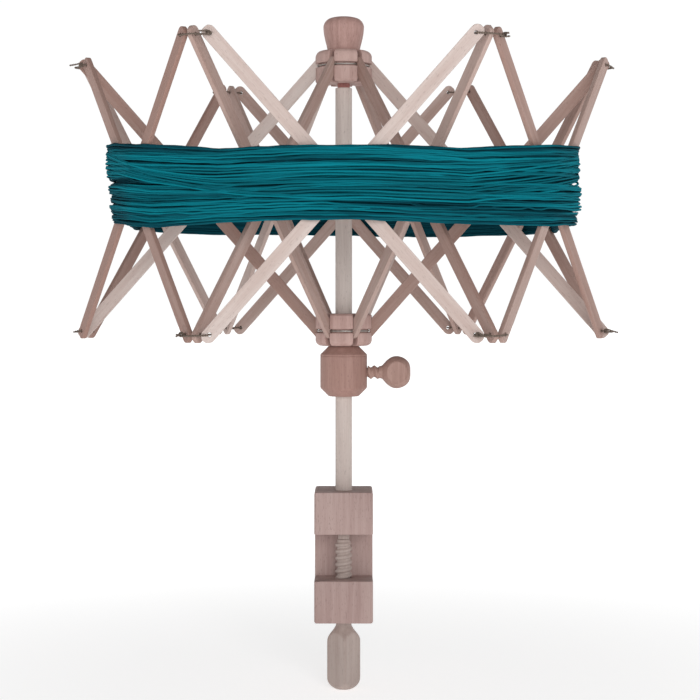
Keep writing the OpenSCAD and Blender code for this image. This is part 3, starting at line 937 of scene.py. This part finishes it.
def tube_rings(line, thickness):
    """Rings of points round a closed line, one ring for each of its points and the first again."""
    ahead = np.roll(line, -1, 0) - np.roll(line, 1, 0)
    ahead /= np.linalg.norm(ahead, axis=1)[:, None]
    up = np.array((0, 0, 1.0)) - ahead * ahead[:, 2:3]
    up /= np.linalg.norm(up, axis=1)[:, None]
    side = np.cross(ahead, up)
    angles = TAU * np.arange(SIDES) / SIDES
    rings = line[:, None] + thickness * (np.cos(angles)[None, :, None] * side[:, None]
                                         + np.sin(angles)[None, :, None] * up[:, None])
    return np.concatenate([rings, rings[:1]])


def core_row(level, out):
    """One row of the heart's surface, at a level and a distance from the laths."""
    row = []
    for k in range(ROUND + 1):
        angle = TAU * k / ROUND
        middle, half = band_at(angle)
        height = middle + level * half
        thick = out
        if out != CORE_INNER:
            thick = max(CORE_LEAST, out - groove(angle, height)[1] * 0.7 - slimmer(angle, height))
        radius = eased_radius(angle, height - MIDDLE, thick, 0 if out == CORE_INNER else FILLED * 0.8)
        row.append((radius * math.cos(angle), radius * math.sin(angle), height))
    return row


levels = list(np.linspace(-0.96, 0.96, CORE_ROWS))
core_in = [core_row(level, CORE_INNER) for level in levels]
core_out = [core_row(level, CORE_OUTER - 0.0025 * abs(level) ** 6) for level in reversed(levels)]
core_rows = np.array(core_in + core_out)
strand_rings = [tube_rings(line, thickness) for line, tones, thickness in strands]
strand_tones = [np.append(tones, tones[0]) for line, tones, thickness in strands]
print("rows in the dark heart of the skein:", len(core_rows))

for number in range(SLICES):
    first = number * SLICE_STEPS
    window = slice(first, first + SLICE_STEPS + 1)
    width = SLICE_STEPS + 1
    points, faces, tones = [], [], []
    for rings, along in zip(strand_rings, strand_tones):
        base = len(points)
        points.extend(rings[window].reshape(-1, 3))
        tones.extend(np.repeat(along[window], SIDES))
        for k in range(SLICE_STEPS):
            for j in range(SIDES):
                a, b = base + k * SIDES + j, base + k * SIDES + (j + 1) % SIDES
                faces.append((a, b, b + SIDES, a + SIDES))
    strand_faces = len(faces)
    base = len(points)
    points.extend(core_rows[:, window].reshape(-1, 3))
    tones.extend([0.0] * (len(core_rows) * width))
    for row in range(len(core_rows)):
        for k in range(SLICE_STEPS):
            a, b = base + row * width + k, base + (row + 1) % len(core_rows) * width + k
            faces.append((a, a + 1, b + 1, b))
    piece = new_piece(f"yarn_{number + 1:02d}", points, faces)
    piece.data.attributes.new("tone", "FLOAT", "POINT").data.foreach_set("value", tones)
    settle(piece, "skein", [wool.material, shaded_core.material], ["yarn_skein"], 80)
    for face in piece.data.polygons[strand_faces:]:
        face.material_index = 1
    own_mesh(piece)
print("yarn slices:", SLICES, "faces in one:", len(piece.data.polygons))

# %% [markdown]
# ## The studio
#
# The picture is lit from the front, softly, on pure white: the tops of the blocks are greyer than their
# fronts. So one large lamp stands beside the camera, and the sky is white at the horizon and dimmer
# overhead.

# %% Floor
FLOOR_Z = HANDLE_LOW - 0.0005
FLOOR_HALF = 30.0
floor = new_piece("floor", [(x, y, FLOOR_Z) for x, y in
                            ((-FLOOR_HALF, -FLOOR_HALF), (FLOOR_HALF, -FLOOR_HALF),
                             (FLOOR_HALF, FLOOR_HALF), (-FLOOR_HALF, FLOOR_HALF))], [(0, 1, 2, 3)])
# The floor glows though it is no lamp, a painted light: white far off and greyer near the swift, a painted
# shadow round its foot.
ground = Finish("glowing_pale_floor", Roughness=1.0, Specular_IOR_Level=0.0, Base_Color=(0.85, 0.85, 0.85, 1),
                Emission_Strength=1.0)
away = ground.add("ShaderNodeVectorMath", {"operation": "LENGTH"}, {0: ground.place((1, 1, 0))}, "Value")
floor_glow_dim_near_swift = ground.mix(ground.between(away, 0.15, 1.5), (0.56, 0.56, 0.56, 1), (0.95, 0.95, 0.95, 1))
ground.drive("Emission Color", floor_glow_dim_near_swift)
floor.data.materials.append(ground.material)
print("floor at", round(FLOOR_Z, 4), "m")

# %% Sky
world = bpy.data.worlds.new("studio")
bpy.context.scene.world = world
world.use_nodes = True
sky = world.node_tree
spot = sky.nodes.new("ShaderNodeTexCoord")
parts = sky.nodes.new("ShaderNodeSeparateXYZ")
ramp = sky.nodes.new("ShaderNodeValToRGB")
OVERHEAD = 0.22
for element, (place, light) in zip(ramp.color_ramp.elements, ((0.20, 1.0), (0.50, OVERHEAD))):
    element.position = place
    element.color = (light, light, light, 1)
sky.links.new(spot.outputs["Generated"], parts.inputs[0])
sky.links.new(parts.outputs[2], ramp.inputs[0])
sky.links.new(ramp.outputs[0], sky.nodes["Background"].inputs["Color"])
sky.nodes["Background"].inputs["Strength"].default_value = 1.02
print("light overhead, as a share of the horizon:", OVERHEAD)


# %% Front lamp
def lamp(name, place, power, size, target=(0, 0, 0.25)):
    data = bpy.data.lights.new(name, "AREA")
    data.energy = power
    data.size = size
    light = bpy.data.objects.new(name, data)
    light.location = place
    light.rotation_euler = (Vector(target) - Vector(place)).to_track_quat("-Z", "Y").to_euler()
    bpy.context.collection.objects.link(light)
    return light


lamp("front_lamp", (0.5, -2.8, 0.75), 24, 1.2)
scene = bpy.context.scene
scene.view_settings.view_transform = "Standard"
scene.view_settings.look = "None"
scene.view_settings.exposure = 0.0
print("stage ready")
